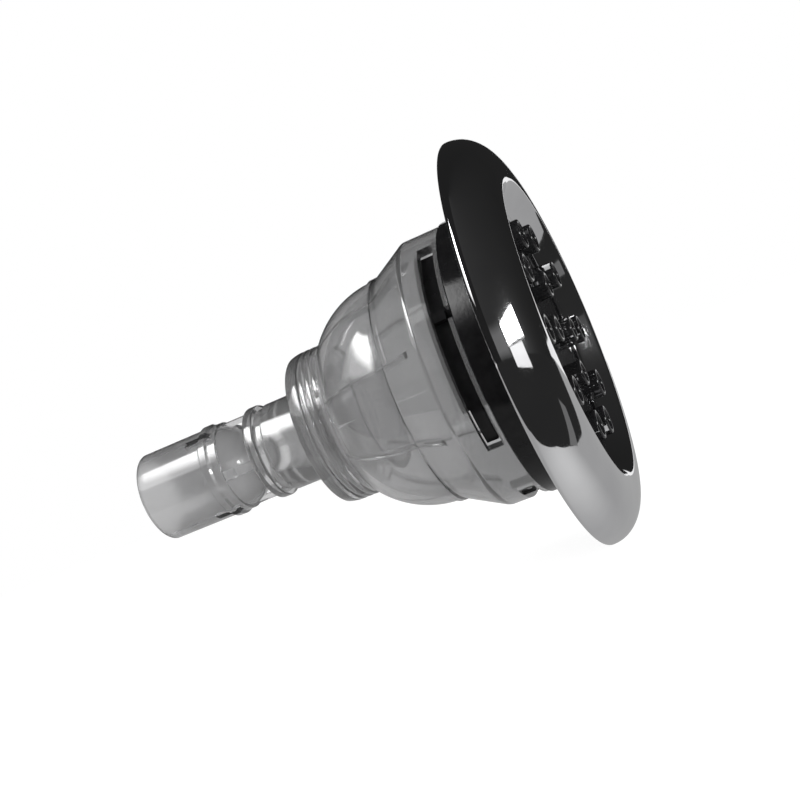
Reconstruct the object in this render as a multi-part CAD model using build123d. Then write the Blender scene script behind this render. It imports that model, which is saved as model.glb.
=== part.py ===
from build123d import *
import os
from math import asin, atan, cos, degrees, radians, sin, sqrt, tan

# A thread-in body jet insert with a multi-nozzle face.
# The axis of the jet is Y. The wall plane is y = 0, +Y goes into the wall and water leaves towards -Y.
# All sizes are in millimetres. Angles go round the axis from +X towards +Z.

# Clearances, and how far a cutter passes the wall that it cuts
static_gap = 0.1
running_gap = 0.3
cut_margin = 1.0

# Escutcheon
escutcheon_radius = 63.5
escutcheon_height = 12.9
sheet = 1.0
edge_roll = 1.4
crimp_width = 1.5
crest_radius = 48.0
crest_round = 3.0
bowl_slope = 50.0
bowl_floor_radius = 39.5

# Nozzle plate
floor_depth = 6.5
plate_thickness = 3.0
plate_wall = 2.0
face_turn = -3.0
outer_count = 10
outer_ring_radius = 31.0
outer_stub_diameter = 8.9
inner_count = 4
inner_ring_radius = 14.0
inner_stub_diameter = 8.0
stub_height = 6.0
stub_lip = 1.3
stub_cup_depth = 1.6
stub_hole_diameter = 3.0
stub_round = 0.5

# Face carrier
collar_radius = 43.0
carrier_wall = 2.0
collar_depth = 10.0
ring_thickness = 2.5
web_thickness = 2.0
web_chamfer = 0.3
tab_wall = 1.9
tab_end_gap = 1.0
tail_span = 16.0
tail_width = 3.5
shutter_lap = 1.7
lug_width = 2.9
lug_drop = 0.3

# Bell body
bell_wall = 2.5
front_radius = 42.5
land_radius = 35.65
land_end = 35.3
dome_end = 36.6
dome_round = 28.8
thread_radius = 24.55
thread_rear = 70.3
thread_chamfer = 0.8
rear_wall = 3.0
flare_end = 22.7
shoulder_round = 3.0
window_count = 3
window_start = 121.5
window_span = 91.0
window_width = 4.8
rim_width = 1.2
lug_angle = 157.6
lug_slack = 0.4
slot_width = 3.7
rib_count = 9
rib_angle = 165.0
rib_height = 1.6
rib_thickness = 1.2
rib_front = 26.0

# Diffuser tube
spigot_radius = 14.45
spigot_wall = 2.0
tube_end = 130.6
end_round = 1.2
band_rear = 107.6
band_width = 3.5
band_height = 0.7
air_slot_count = 3
air_slot_angle = 4.0
air_slot_width = 2.6
air_slot_length = 9.0
air_slot_front = 103.2
cage_rear = 101.4
cage_length = 10.3
bar_count = 4
bar_angle = 187.5
bar_width = 3.0
bar_thickness = 1.6
bar_radius = 13.8
bar_root = 1.2
nozzle_tip_radius = 5.2
nozzle_wall = 1.6
nozzle_length = 9.0
nozzle_round = 13.0
nozzle_step = 0.9
ring_radius = 15.1
ring_width = 3.4
groove_width = 2.9
groove_depth = 0.7
neck_radius = 14.2
throat_radius = 8.0
throat_flare = 1.5
cone_end = 50.6
cone_end_radius = 18.5
cone_wall = 2.0
seat_thickness = 2.5

# Places worked out from the sizes
lip_front = floor_depth - escutcheon_height
plate_front = lip_front + sheet
plate_rear = plate_front + plate_thickness
stub_tip = plate_front - stub_height
ring_front = collar_depth - ring_thickness
rim_front = collar_depth + running_gap
window_front = rim_front + rim_width
window_rear = window_front + window_width
bell_bore = front_radius - bell_wall
tab_radius = bell_bore - running_gap
carrier_bore = collar_radius - carrier_wall
plate_radius = carrier_bore - static_gap
collar_bore = tab_radius - tab_wall
seat_rear = thread_rear - rear_wall
thread_bore = thread_radius - bell_wall
spigot_bore = spigot_radius - spigot_wall
cage_front = cage_rear - cage_length
ring_rear = cage_front
ring_end = ring_rear - ring_width
groove_end = ring_end - groove_width
mouth_radius = throat_radius + throat_flare

turn_axis = Axis((0, 0, 0), (0, -1, 0))


def turned(outline):
    """A solid of revolution from outline pieces in the plane of radius and axis."""
    return revolve(make_face(outline), axis=turn_axis)


def at_angle(shape, angle):
    """The shape, drawn at +X, turned round the axis to an angle."""
    return Rot(0, -angle, 0) * shape


def sector(low_radius, high_radius, front, rear, span):
    """A piece of a tube wall that starts at +X and goes round by span degrees."""
    middle = ((low_radius + high_radius) / 2, (front + rear) / 2)
    section = Pos(*middle) * Rectangle(high_radius - low_radius, rear - front)
    return revolve(section, axis=turn_axis, revolution_arc=span)


def block(low_radius, high_radius, front, rear, width):
    """A straight block across the +X direction."""
    size = (high_radius - low_radius, rear - front, width)
    return Pos((low_radius + high_radius) / 2, (front + rear) / 2, 0) * Box(*size)


def post(radius, front, rear):
    """A round post on the axis."""
    return Pos(0, (front + rear) / 2, 0) * Rot(90, 0, 0) * Cylinder(radius, rear - front)


def around(shape, count, start):
    """Copies of a shape at equal angles round the axis, the first at start."""
    return [at_angle(shape, start + 360 / count * index) for index in range(count)]


def make_escutcheon():
    """Steel skin: rolled rear edge, quarter-ellipse ring, rounded crest, bowl wall and lip."""
    reach = escutcheon_radius - crest_radius
    rise = escutcheon_height - edge_roll
    ring_centre = (crest_radius, -edge_roll)
    roll_radius = escutcheon_radius - edge_roll
    crest_y = crest_round - escutcheon_height
    slope = radians(bowl_slope)

    def skin(depth):
        """Crest to lip, at a depth below the outer face: the crest arc's end and the lip's corner."""
        arc_radius = crest_round - depth
        end = (crest_radius - arc_radius * sin(slope), crest_y - arc_radius * cos(slope))
        lip_y = lip_front + depth
        corner = (end[0] - (lip_y - end[1]) / tan(slope), lip_y)
        return end, corner

    outer_end, outer_corner = skin(0)
    inner_end, inner_corner = skin(sheet)
    outline = [
        EllipticalCenterArc(ring_centre, reach, rise, start_angle=270, arc_size=90),
        CenterArc((roll_radius, -edge_roll), edge_roll, 0, 90),
        Polyline(
            (roll_radius, 0),
            (roll_radius - crimp_width, 0),
            (roll_radius - crimp_width, -sheet),
            (roll_radius, -sheet),
        ),
        CenterArc((roll_radius, -edge_roll), edge_roll - sheet, 0, 90),
        EllipticalCenterArc(ring_centre, reach - sheet, rise - sheet, start_angle=270, arc_size=90),
        CenterArc((crest_radius, crest_y), crest_round - sheet, 270 - bowl_slope, bowl_slope),
        Polyline(
            inner_end,
            inner_corner,
            (bowl_floor_radius, plate_front),
            (bowl_floor_radius, lip_front),
            outer_corner,
            outer_end,
        ),
        CenterArc((crest_radius, crest_y), crest_round, 270 - bowl_slope, bowl_slope),
    ]
    return turned(outline)


def make_stub(diameter):
    """One nozzle stub at the plate's middle: a tube with a cupped mouth and a through hole."""
    stub = post(diameter / 2, stub_tip, plate_front)
    return fillet(stub.edges().group_by(Axis.Y)[0], stub_round)


def make_stub_bore(diameter):
    """The hole through one stub and the plate, with the cup at its mouth."""
    hole = post(stub_hole_diameter / 2, stub_tip - cut_margin, plate_rear + cut_margin)
    cup = post(diameter / 2 - stub_lip, stub_tip - cut_margin, stub_tip + stub_cup_depth)
    return hole + cup


def make_nozzle_plate():
    """Black cup: floor with two rings of stubs and a skirt that seats on the carrier's rear ring."""
    skirt_bore = plate_radius - plate_wall
    cup = turned(Polyline(
        (0, plate_front),
        (plate_radius, plate_front),
        (plate_radius, ring_front),
        (skirt_bore, ring_front),
        (skirt_bore, plate_rear),
        (0, plate_rear),
        close=True,
    ))
    stubs = []
    bores = []
    for count, ring, diameter in (
        (outer_count, outer_ring_radius, outer_stub_diameter),
        (inner_count, inner_ring_radius, inner_stub_diameter),
    ):
        stubs += around(Pos(ring, 0, 0) * make_stub(diameter), count, face_turn)
        bores += around(Pos(ring, 0, 0) * make_stub_bore(diameter), count, face_turn)
    return cup + stubs - bores


def make_face_carrier():
    """Black ring: collar, web under the escutcheon's crimp, rear ring, shutter tabs and lugs."""
    web_radius = escutcheon_radius - sheet - running_gap
    web_rear = -sheet
    web_front = web_rear - web_thickness
    carrier = turned(Polyline(
        (collar_bore, collar_depth),
        (collar_radius, collar_depth),
        (collar_radius, web_rear),
        (web_radius - web_chamfer, web_rear),
        (web_radius, web_rear - web_chamfer),
        (web_radius, web_front),
        (collar_radius, web_front),
        (collar_radius, plate_front),
        (carrier_bore, plate_front),
        (carrier_bore, ring_front),
        (collar_bore, ring_front),
        close=True,
    ))
    tab_rear = window_rear - running_gap
    main_span = window_span - 2 * tab_end_gap - tail_span
    tab = sector(collar_bore, tab_radius, ring_front, window_rear + shutter_lap, main_span)
    tail = sector(collar_bore, tab_radius, tab_rear - tail_width, tab_rear, main_span + tail_span)
    lug_front = window_front + lug_slack
    lug_rear = window_rear - lug_slack
    lug = block(collar_bore + tab_wall / 2, front_radius - lug_drop, lug_front, lug_rear, lug_width)
    tabs = around(tab + tail, window_count, window_start + tab_end_gap)
    lugs = around(lug, window_count, lug_angle)
    return carrier + tabs + lugs


def make_bell_body():
    """Smoky clear body: threaded collar, dome, land, flare and front cylinder, with windows and ribs."""
    dome_centre = land_radius - dome_round
    flare = atan((front_radius - land_radius) / (land_end - flare_end))
    shift = bell_wall * tan(flare / 2)
    inner_dome = dome_round - bell_wall

    def dome_start(radius, arc_radius):
        return dome_end + sqrt(arc_radius**2 - (radius - dome_centre) ** 2)

    def dome_arc(radius, arc_radius):
        start = asin((dome_start(radius, arc_radius) - dome_end) / arc_radius)
        return CenterArc((dome_centre, dome_end), arc_radius, 0, degrees(start))

    neck_hole = neck_radius + static_gap
    land_bore = land_radius - bell_wall
    outer_start = dome_start(thread_radius, dome_round)
    inner_start = dome_start(thread_bore, inner_dome)
    outline = [
        Polyline(
            (neck_hole, seat_rear),
            (neck_hole, thread_rear),
            (thread_radius - thread_chamfer, thread_rear),
            (thread_radius, thread_rear - thread_chamfer),
            (thread_radius, outer_start),
        ),
        dome_arc(thread_radius, dome_round),
        Polyline(
            (land_radius, dome_end),
            (land_radius, land_end),
            (front_radius, flare_end),
            (front_radius, rim_front),
            (bell_bore, rim_front),
            (bell_bore, flare_end - shift),
            (land_bore, land_end - shift),
            (land_bore, dome_end),
        ),
        dome_arc(thread_bore, inner_dome),
        Polyline((thread_bore, inner_start), (thread_bore, seat_rear), (neck_hole, seat_rear)),
    ]
    bell = turned(outline)
    at_shoulder = Vector(0, flare_end, 0)
    rounds = bell.edges().filter_by(GeomType.CIRCLE).group_by(SortBy.RADIUS)[-1]
    bell = fillet(rounds.sort_by_distance(at_shoulder)[0], shoulder_round)

    rib_core = inner_dome - rib_height
    rib_bore = thread_bore - rib_height
    wall_middle = dome_round - bell_wall / 2
    rib_root = land_radius - bell_wall / 2
    rib_land = land_bore - rib_height
    rib_climb = (land_end - shift - rib_front) * tan(flare)
    rib_outline = [
        dome_arc(thread_bore, wall_middle),
        Polyline(
            (rib_root, dome_end),
            (rib_root, land_end - shift / 2),
            (rib_root + rib_climb, rib_front),
            (rib_land + rib_climb, rib_front),
            (rib_land, land_end - shift),
            (rib_land, dome_end),
        ),
        dome_arc(rib_bore, rib_core),
        Line((rib_bore, dome_start(rib_bore, rib_core)), (thread_bore, dome_start(thread_bore, wall_middle))),
    ]
    rib = extrude(make_face(rib_outline), rib_thickness / 2, both=True)

    low = bell_bore - cut_margin
    high = front_radius + cut_margin
    window = sector(low, high, window_front, window_rear, window_span)
    slot = block(low, high, rim_front - cut_margin, window_front + cut_margin, slot_width)
    cuts = around(window, window_count, window_start) + around(slot, window_count, lug_angle)
    return bell + around(rib, rib_count, rib_angle) - cuts


def make_diffuser_tube():
    """Smoky clear tube: spigot with water nozzle, open cage, ring, neck and the widening cone."""
    band_front = band_rear - band_width
    band_radius = spigot_radius + band_height
    tip_y = cage_rear - nozzle_length
    outer_tip = nozzle_tip_radius + nozzle_wall
    nozzle_radius = spigot_radius - nozzle_step
    spigot = turned([
        Polyline(
            (spigot_bore, cage_rear + nozzle_wall),
            (spigot_bore, tube_end),
            (spigot_radius, tube_end),
            (spigot_radius, band_rear),
            (band_radius, band_rear - band_height),
            (band_radius, band_front + band_height),
            (spigot_radius, band_front),
            (spigot_radius, cage_rear),
            (nozzle_radius, cage_rear),
        ),
        RadiusArc((nozzle_radius, cage_rear), (outer_tip, tip_y), nozzle_round),
        Line((outer_tip, tip_y), (nozzle_tip_radius, tip_y)),
        RadiusArc((nozzle_tip_radius, tip_y), (spigot_bore, cage_rear + nozzle_wall), -nozzle_round),
    ])
    spigot = fillet(spigot.edges().group_by(Axis.Y)[-1].sort_by(SortBy.RADIUS)[-1], end_round)

    groove_radius = neck_radius - groove_depth
    seat_front = seat_rear - seat_thickness
    seat_radius = thread_bore - static_gap
    ring_crown = (ring_radius, (ring_rear + ring_end) / 2)
    neck = turned([
        Line((mouth_radius, ring_rear), (groove_radius, ring_rear)),
        ThreePointArc((groove_radius, ring_rear), ring_crown, (groove_radius, ring_end)),
        Polyline(
            (groove_radius, ring_end),
            (groove_radius, groove_end + groove_depth),
            (neck_radius, groove_end),
            (neck_radius, seat_rear),
            (seat_radius, seat_rear),
            (seat_radius, seat_front),
            (neck_radius, seat_front),
            (cone_end_radius + cone_wall, cone_end),
            (cone_end_radius, cone_end),
            (throat_radius, ring_end),
            (mouth_radius, ring_rear),
        ),
    ])

    bar_foot = bar_radius - bar_thickness
    bar = block(bar_foot, bar_radius, cage_front - bar_root, cage_rear + nozzle_wall / 4, bar_width)
    low = spigot_bore - cut_margin
    high = band_radius + cut_margin
    slot = block(low, high, air_slot_front, air_slot_front + air_slot_length, air_slot_width)
    slots = around(slot, air_slot_count, air_slot_angle)
    return spigot + neck + around(bar, bar_count, bar_angle) - slots


os.makedirs("parts", exist_ok=True)
nodes = {
    "escutcheon": make_escutcheon(),
    "nozzle_plate": make_nozzle_plate(),
    "face_carrier": make_face_carrier(),
    "bell_body": make_bell_body(),
    "diffuser_tube": make_diffuser_tube(),
}
for name, shape in nodes.items():
    export_step(shape, f"parts/{name}.step")
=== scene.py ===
import math
import bmesh
import bpy
import numpy as np
from mathutils import Matrix, Vector
from mathutils.geometry import delaunay_2d_cdt


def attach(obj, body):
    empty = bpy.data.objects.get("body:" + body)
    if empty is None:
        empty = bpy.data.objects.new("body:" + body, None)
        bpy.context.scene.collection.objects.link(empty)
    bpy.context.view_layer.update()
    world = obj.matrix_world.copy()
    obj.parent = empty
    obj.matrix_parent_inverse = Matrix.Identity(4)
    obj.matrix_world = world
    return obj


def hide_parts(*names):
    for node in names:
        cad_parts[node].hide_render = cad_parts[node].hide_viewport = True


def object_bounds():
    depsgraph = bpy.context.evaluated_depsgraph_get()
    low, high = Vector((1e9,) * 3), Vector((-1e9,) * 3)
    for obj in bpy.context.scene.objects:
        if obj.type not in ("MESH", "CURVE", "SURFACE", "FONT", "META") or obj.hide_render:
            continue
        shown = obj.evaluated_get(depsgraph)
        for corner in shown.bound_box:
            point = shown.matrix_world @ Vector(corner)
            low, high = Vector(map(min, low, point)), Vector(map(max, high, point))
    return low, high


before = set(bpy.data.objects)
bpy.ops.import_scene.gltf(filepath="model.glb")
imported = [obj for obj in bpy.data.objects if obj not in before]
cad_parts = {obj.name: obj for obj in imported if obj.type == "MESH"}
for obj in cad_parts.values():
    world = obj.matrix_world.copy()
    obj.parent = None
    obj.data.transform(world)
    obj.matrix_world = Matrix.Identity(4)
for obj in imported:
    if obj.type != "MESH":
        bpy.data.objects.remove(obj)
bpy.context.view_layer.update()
mm = 0.001
print("frame loaded with", len(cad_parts), "nodes")

# Sizes are in millimetres here and become metres in makePiece.
# The jet's axis is Y. Angles go round it from +X towards +Z, and stations run along it into the wall.


def arcRun(centre, radius, startDeg, endDeg, count):
    # centre + radius * (cos a, sin a) for a from start to end; a pair of radii gives an ellipse
    a = np.radians(np.linspace(startDeg, endDeg, count))
    rx, ry = np.broadcast_to(radius, 2)
    return np.column_stack([centre[0] + rx * np.cos(a), centre[1] + ry * np.sin(a)])


def straightRun(start, end, count=2):
    # start + t * (end - start) for t from 0 to 1
    t = np.linspace(0.0, 1.0, count)[:, None]
    return np.asarray(start, float) * (1 - t) + np.asarray(end, float) * t


def joinRuns(*runs):
    return np.vstack([runs[0]] + [r[1:] for r in runs[1:]])


def softCorners(corners, radius, steps=5, closed=True):
    # each corner becomes a short curve (1-t)^2 a + 2t(1-t) p + t^2 b,
    # with a and b on its two sides at the given distance
    p = np.asarray(corners, float)
    before = np.roll(p, 1, axis=0) - p
    after = np.roll(p, -1, axis=0) - p
    lengthBefore = np.linalg.norm(before, axis=1, keepdims=True)
    lengthAfter = np.linalg.norm(after, axis=1, keepdims=True)
    reach = np.broadcast_to(np.asarray(radius, float).reshape(-1, 1), (len(p), 1))
    a = p + before / lengthBefore * np.minimum(reach, 0.45 * lengthBefore)
    b = p + after / lengthAfter * np.minimum(reach, 0.45 * lengthAfter)
    t = np.linspace(0.0, 1.0, steps)[None, :, None]
    curves = (1 - t) ** 2 * a[:, None] + 2 * t * (1 - t) * p[:, None] + t**2 * b[:, None]
    if not closed:
        return np.vstack([p[:1], curves[1:-1].reshape(-1, 2), p[-1:]])
    return curves.reshape(-1, 2)


def ringPoints(angle, radius, station):
    # (radius cos angle, station, radius sin angle)
    angle, radius, station = np.broadcast_arrays(angle, radius, station)
    return np.stack([radius * np.cos(angle), station, radius * np.sin(angle)], axis=-1)


def cellCorners(index):
    # the four corners of each cell of a grid of point numbers
    return np.stack([index[:-1, :-1], index[1:, :-1], index[1:, 1:], index[:-1, 1:]], axis=-1)


def gridQuads(rows, cols, wrapRows=False, wrapCols=False):
    # the cells of a rows x cols grid, which may close on itself either way
    index = np.arange(rows * cols).reshape(rows, cols)
    if wrapRows:
        index = np.vstack([index, index[:1]])
    if wrapCols:
        index = np.hstack([index, index[:, :1]])
    return cellCorners(index).reshape(-1, 4)


def outward(points, faces):
    # turns the faces round if the volume they enclose is negative: the sum of a.(b x c)/6 over their triangles
    a = points[faces[:, 0]]
    volume = 0.0
    for k in range(1, faces.shape[1] - 1):
        volume += np.einsum("ij,ij->", a, np.cross(points[faces[:, k]], points[faces[:, k + 1]]))
    return faces if volume > 0 else faces[:, ::-1]


def roundGrid(angle, outline):
    # each (radius, station) point of an outline, as a row, at each angle, as a column
    return ringPoints(angle[None, :], outline[:, :1], outline[:, 1:])


def turnedLoop(outline, steps):
    # a closed outline carried round the axis
    angle = np.linspace(0.0, 2 * np.pi, steps, endpoint=False)
    points = roundGrid(angle, outline).reshape(-1, 3)
    return points, outward(points, gridQuads(len(outline), steps, True, True))


def wallShell(outer, inner, keep, wrap, dull=1.0, pale=0.0):
    # two grids of points, rows x cols, joined round the edge of the cells that keep marks, so that a
    # left-out cell is an opening; dull marks the points of the inner grid, and pale is a tone for each row
    rows, cols = outer.shape[:2]
    points = np.vstack([outer.reshape(-1, 3), inner.reshape(-1, 3)])
    index = np.arange(rows * cols).reshape(rows, cols)
    if wrap:
        index = np.hstack([index, index[:, :1]])
    far = rows * cols
    cell = cellCorners(index)
    faces = [cell[keep], cell[keep][:, ::-1] + far]
    rowStep = np.diff(np.pad(keep, ((1, 1), (0, 0))).astype(int), axis=0)
    colPad = np.hstack([keep[:, -1:], keep]) if wrap else np.pad(keep, ((0, 0), (1, 1)))
    colStep = np.diff(colPad.astype(int), axis=1)
    for sign in (1, -1):
        i, j = np.nonzero(rowStep == sign)
        edge = np.column_stack([index[i, j], index[i, j + 1]])[:, ::sign]
        faces.append(np.column_stack([edge, edge[:, ::-1] + far]))
        i, j = np.nonzero(colStep == sign)
        edge = np.column_stack([index[i + 1, j], index[i, j]])[:, ::sign]
        faces.append(np.column_stack([edge, edge[:, ::-1] + far]))
    faces = np.vstack(faces)
    used, packed = np.unique(faces, return_inverse=True)
    points, faces = points[used], packed.reshape(faces.shape)
    tone = np.broadcast_to(pale, (rows, cols)).ravel()[used % far]
    return points, outward(points, faces), np.column_stack([dull * (used >= far), tone])


def angleGrid(count, extras):
    # even angles with the named ones put in, and even ones that nearly meet a named one taken out
    even = np.linspace(0.0, 360.0, count, endpoint=False)
    extras = np.unique(np.round(np.mod(extras, 360.0), 5))
    gap = np.abs((even[:, None] - extras[None, :] + 180.0) % 360.0 - 180.0).min(axis=1)
    return np.sort(np.concatenate([even[gap > 0.3 * 360.0 / count], extras]))


def insideSpan(angle, start, span):
    return np.mod(angle - start, 360.0) < span


def makePiece(name, shells, finish, body, node, creaseDeg=30, weld=False):
    points = np.vstack([s[0] for s in shells]) * mm
    offsets = np.cumsum([0] + [len(s[0]) for s in shells])
    loops = [s[1] + o for s, o in zip(shells, offsets)]
    marks = np.vstack([s[2] if len(s) > 2 else np.zeros((len(s[0]), 2)) for s in shells])
    sizes = np.concatenate([np.full(len(f), f.shape[1]) for f in loops])
    corners = np.concatenate([f.ravel() for f in loops])
    mesh = bpy.data.meshes.new(name)
    mesh.vertices.add(len(points))
    mesh.vertices.foreach_set("co", points.astype(np.float32).ravel())
    mesh.loops.add(len(corners))
    mesh.loops.foreach_set("vertex_index", corners.astype(np.int32))
    mesh.polygons.add(len(sizes))
    mesh.polygons.foreach_set("loop_start", np.concatenate([[0], np.cumsum(sizes)[:-1]]).astype(np.int32))
    mesh.update(calc_edges=True)
    mesh.validate()
    for label, column in zip(("dull", "pale"), marks.T):
        if column.any():
            mark = mesh.attributes.new(label, "FLOAT", "POINT")
            mark.data.foreach_set("value", column.astype(np.float32))
    if weld:
        work = bmesh.new()
        work.from_mesh(mesh)
        bmesh.ops.remove_doubles(work, verts=work.verts, dist=2e-6)
        bmesh.ops.recalc_face_normals(work, faces=work.faces)
        work.to_mesh(mesh)
        work.free()
    mesh.polygons.foreach_set("use_smooth", np.ones(len(mesh.polygons), bool))
    mesh.set_sharp_from_angle(angle=math.radians(creaseDeg))
    mesh.materials.append(finish)
    piece = bpy.data.objects.new(name, mesh)
    bpy.context.scene.collection.objects.link(piece)
    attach(piece, body)
    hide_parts(node)
    print("made", name, "with", len(mesh.polygons), "faces")


def newFinish(name):
    finish = bpy.data.materials.new(name)
    finish.use_nodes = True
    return finish, finish.node_tree, finish.node_tree.nodes["Principled BSDF"]


def noiseOn(tree, scale, detail=3.0, rough=0.55):
    place = tree.nodes.new("ShaderNodeTexCoord")
    noise = tree.nodes.new("ShaderNodeTexNoise")
    noise.inputs["Scale"].default_value = scale
    noise.inputs["Detail"].default_value = detail
    noise.inputs["Roughness"].default_value = rough
    tree.links.new(place.outputs["Object"], noise.inputs["Vector"])
    return noise.outputs["Fac"]


def spread(tree, source, low, high):
    ranged = tree.nodes.new("ShaderNodeMapRange")
    ranged.inputs["From Min"].default_value = 0.3
    ranged.inputs["From Max"].default_value = 0.7
    ranged.inputs["To Min"].default_value = low
    ranged.inputs["To Max"].default_value = high
    tree.links.new(source, ranged.inputs["Value"])
    return ranged.outputs["Result"]


def tint(tree, source, low, high):
    ramp = tree.nodes.new("ShaderNodeValToRGB")
    ramp.color_ramp.elements[0].position = 0.3
    ramp.color_ramp.elements[1].position = 0.7
    ramp.color_ramp.elements[0].color = (*low, 1)
    ramp.color_ramp.elements[1].color = (*high, 1)
    tree.links.new(source, ramp.inputs["Fac"])
    return ramp.outputs["Color"]


def bumpOn(tree, shader, source, strength, distance):
    bump = tree.nodes.new("ShaderNodeBump")
    bump.inputs["Strength"].default_value = strength
    bump.inputs["Distance"].default_value = distance
    tree.links.new(source, bump.inputs["Height"])
    tree.links.new(bump.outputs["Normal"], shader.inputs["Normal"])


# finishes

# cloud, grain and ripple are the noises of the colour, the roughness and the bump:
# each has a scale, then its detail, and the bump its strength
steelLook = {
    "light": (0.82, 0.82, 0.83),
    "dark": (0.71, 0.71, 0.725),
    "cloud": 35.0,
    "smooth": 0.03,
    "hazy": 0.075,
    "grain": (900.0, 4.0),
    "ripple": (60.0, 1.0, 0.02),
}
glossLook = {
    "light": (0.018, 0.018, 0.019),
    "dark": (0.010, 0.010, 0.0105),
    "cloud": 240.0,
    "smooth": 0.03,
    "hazy": 0.08,
    "grain": (500.0, 3.0),
    "ripple": (400.0, 2.0, 0.05),
}
mouldLook = {
    "light": (0.012, 0.012, 0.0125),
    "dark": (0.007, 0.007, 0.0075),
    "cloud": 260.0,
    "smooth": 0.09,
    "hazy": 0.15,
    "grain": (700.0, 3.0),
    "ripple": (900.0, 3.0, 0.08),
    "gloss": 0.22,
}
smokeLook = {
    "light": (0.90, 0.90, 0.905),
    "dark": (0.60, 0.60, 0.605),
    "cloud": 45.0,
    "cloudReach": (0.3, 0.36),
    "smooth": 0.02,
    "hazy": 0.05,
    "grain": 600.0,
    "ripple": (70.0, 1.5, 0.03),
    "inside": 0.35,
    "clear": 0.88,
    "depth": 90.0,
    "coat": 0.03,
}
rippleHeight = 0.0002


def dressFinish(tree, shader, look):
    # colour from dark to light, roughness from smooth to hazy and a faint bump, each on its own noise
    colour = tint(tree, noiseOn(tree, look["cloud"]), look["dark"], look["light"])
    tree.links.new(colour, shader.inputs["Base Color"])
    rough = spread(tree, noiseOn(tree, *look["grain"]), look["smooth"], look["hazy"])
    tree.links.new(rough, shader.inputs["Roughness"])
    scale, detail, strength = look["ripple"]
    bumpOn(tree, shader, noiseOn(tree, scale, detail), strength, rippleHeight)


brightSteel, tree, shader = newFinish("brightSteel")
shader.inputs["Metallic"].default_value = 1.0
dressFinish(tree, shader, steelLook)

blackGloss, tree, shader = newFinish("blackGloss")
shader.inputs["IOR"].default_value = 1.5
dressFinish(tree, shader, glossLook)

blackMoulding, tree, shader = newFinish("blackMoulding")
shader.inputs["IOR"].default_value = 1.5
shader.inputs["Specular IOR Level"].default_value = mouldLook["gloss"]
dressFinish(tree, shader, mouldLook)

smokyClear, tree, shader = newFinish("smokyClear")
shader.inputs["IOR"].default_value = 1.45
shader.inputs["Transmission Weight"].default_value = smokeLook["clear"]
shader.inputs["Coat Weight"].default_value = 1.0
shader.inputs["Coat Roughness"].default_value = smokeLook["coat"]
smoke = tree.nodes.new("ShaderNodeVolumeAbsorption")
smoke.inputs["Color"].default_value = (0, 0, 0, 1)
smoke.inputs["Density"].default_value = smokeLook["depth"]
tree.links.new(smoke.outputs[0], tree.nodes["Material Output"].inputs["Volume"])
hue = tree.nodes.new("ShaderNodeAttribute")  # the neck, cone and collar are paler than the spigot: painted light, a paler tint that brightens them
hue.attribute_name = "pale"
cloud = tree.nodes.new("ShaderNodeMath")
cloud.operation = "ADD"
tree.links.new(hue.outputs["Fac"], cloud.inputs[0])
tree.links.new(spread(tree, noiseOn(tree, smokeLook["cloud"]), *smokeLook["cloudReach"]), cloud.inputs[1])
colour = tint(tree, cloud.outputs[0], smokeLook["dark"], smokeLook["light"])
tree.links.new(colour, shader.inputs["Base Color"])
satin = tree.nodes.new("ShaderNodeAttribute")  # the inner walls are duller than the polished outside
satin.attribute_name = "dull"
dull = tree.nodes.new("ShaderNodeMath")
dull.operation = "MULTIPLY_ADD"
dull.inputs[1].default_value = smokeLook["inside"]
tree.links.new(satin.outputs["Fac"], dull.inputs[0])
rough = spread(tree, noiseOn(tree, smokeLook["grain"]), smokeLook["smooth"], smokeLook["hazy"])
tree.links.new(rough, dull.inputs[2])
tree.links.new(dull.outputs[0], shader.inputs["Roughness"])
scale, detail, strength = smokeLook["ripple"]
bumpOn(tree, shader, noiseOn(tree, scale, detail), strength, 2 * rippleHeight)
print("finishes made")

# escutcheon

steelRing = {
    "radius": 63.5,
    "height": 12.9,
    "crestRadius": 48.0,
    "edgeRoll": 1.4,
    "crimp": 1.5,
    "sheet": 1.0,
    "crestRound": 3.0,
    "bowlSlope": 50.0,
    "lipRadius": 39.5,
    "lipStation": -6.4,
    "lipBends": (1.4, 0.6),  # outer and inner skin
    "steps": 384,
}


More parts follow.
